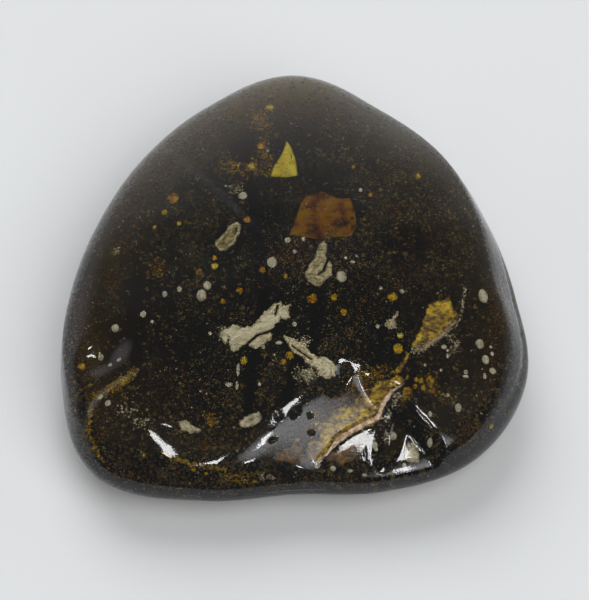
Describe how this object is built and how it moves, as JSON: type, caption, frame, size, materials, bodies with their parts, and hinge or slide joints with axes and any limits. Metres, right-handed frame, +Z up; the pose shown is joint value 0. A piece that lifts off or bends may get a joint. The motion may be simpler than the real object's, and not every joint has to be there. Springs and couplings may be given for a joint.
{
  "type": "polished amber nugget with plant inclusions",
  "caption": "Polished, tumbled nugget of dark see-through amber with bark, twig, husk and leaf debris sealed under its domed face; lies on a flat.",
  "frame": {"origin": "middle of the bounding box, on the flat that the stone rests on", "axes": "+Z up, out of the domed top face; +X to the right of the front view; +Y to the back, towards the narrow end of the outline"},
  "size_m": [0.0423, 0.0445, 0.0128],
  "materials": {
    "amber": "hand-polished fossil resin, very dark olive brown, clear where it is thin",
    "pale_wood": "pale weathered bark and twig, matt",
    "husk": "papery husk and frass, matt",
    "leaf": "orange-brown leaf flake, thin and slightly shiny",
    "fracture": "golden stress fractures inside the amber, mirror-like flakes",
    "grains": "small pale grains and bubbles sealed in the amber"
  },
  "bodies": {
    "root": {"amber_upper": "amber", "amber_lower": "amber", "bark_sliver": "pale_wood", "twig_splinter": "pale_wood", "husk_curl": "husk", "seed_husk": "husk", "leaf_flake": "leaf", "pale_chip": "pale_wood", "left_crumb": "pale_wood", "middle_crumb": "husk", "front_crumb": "husk"}
  },
  "joints": []
}
